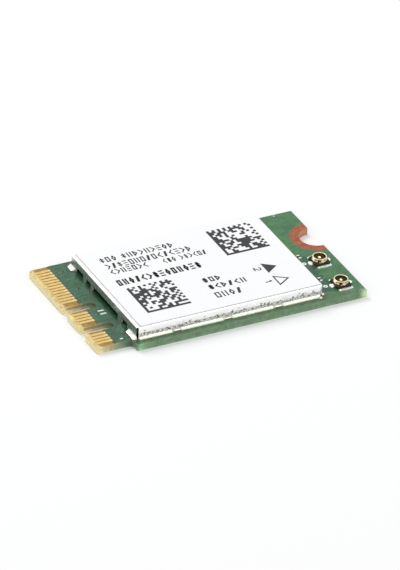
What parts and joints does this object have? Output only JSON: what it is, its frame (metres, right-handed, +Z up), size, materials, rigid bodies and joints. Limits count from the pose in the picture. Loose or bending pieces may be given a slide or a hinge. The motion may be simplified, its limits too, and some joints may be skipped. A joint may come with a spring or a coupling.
{
  "type": "laptop wifi card",
  "caption": "Small laptop wifi card: green circuit board with a gold-contact edge tongue, a labelled metal shield can, tiny antenna sockets and a half-round screw notch.",
  "frame": {"origin": "middle of the board's underside", "axes": "+X from the contact edge to the screw notch, +Y across the card from the antenna side to the far edge, +Z up from the underside to the label"},
  "size_m": [0.03, 0.0164, 0.0022],
  "materials": {
    "solder_mask": "green solder mask over glass laminate",
    "pad_copper": "reddish plated copper",
    "contact_gold": "gold-plated contacts",
    "white_ink": "white ink",
    "tin_solder": "bright tin solder",
    "can_tin": "tin-plated sheet steel",
    "label_paper": "white coated label film",
    "label_ink": "dark grey print",
    "chip_mould": "black moulding compound",
    "crystal_ceramic": "tan ceramic",
    "ferrite": "grey ferrite",
    "part_ceramic": "brown fired ceramic",
    "filter_ceramic": "cream ceramic",
    "resistor_film": "black glazed film",
    "base_plastic": "black heat-proof plastic",
    "ring_gold": "gold-plated phosphor bronze"
  },
  "bodies": {
    "root": {"circuit_board": "solder_mask", "notch_plating": "pad_copper", "contacts_top_near": "contact_gold", "contacts_top_middle": "contact_gold", "contacts_top_far": "contact_gold", "contacts_bottom_near": "contact_gold", "contacts_bottom_middle": "contact_gold", "contacts_bottom_far": "contact_gold", "underside_test_pads": "contact_gold", "board_marks": "white_ink", "test_pads": "tin_solder", "shield_can": "can_tin", "shield_solder": "tin_solder", "shield_label": "label_paper", "label_print": "label_ink", "wireless_chip": "chip_mould", "wireless_chip_pads": "tin_solder", "memory_chip": "chip_mould", "memory_chip_leads": "tin_solder", "amplifier_near": "chip_mould", "amplifier_far": "chip_mould", "amplifier_pads": "tin_solder", "crystal_base": "crystal_ceramic", "crystal_lid": "can_tin", "crystal_pads": "tin_solder", "power_coil": "ferrite", "power_coil_terminals": "tin_solder", "band_filters": "filter_ceramic", "band_filter_terminals": "tin_solder", "capacitors": "part_ceramic", "capacitor_terminals": "tin_solder", "resistors": "resistor_film", "resistor_terminals": "tin_solder", "matching_parts": "part_ceramic", "matching_part_terminals": "tin_solder", "antenna_base_near": "base_plastic", "antenna_ground_near": "ring_gold", "antenna_pin_near": "contact_gold", "antenna_base_far": "base_plastic", "antenna_ground_far": "ring_gold", "antenna_pin_far": "contact_gold", "antenna_pads": "tin_solder"}
  },
  "joints": []
}
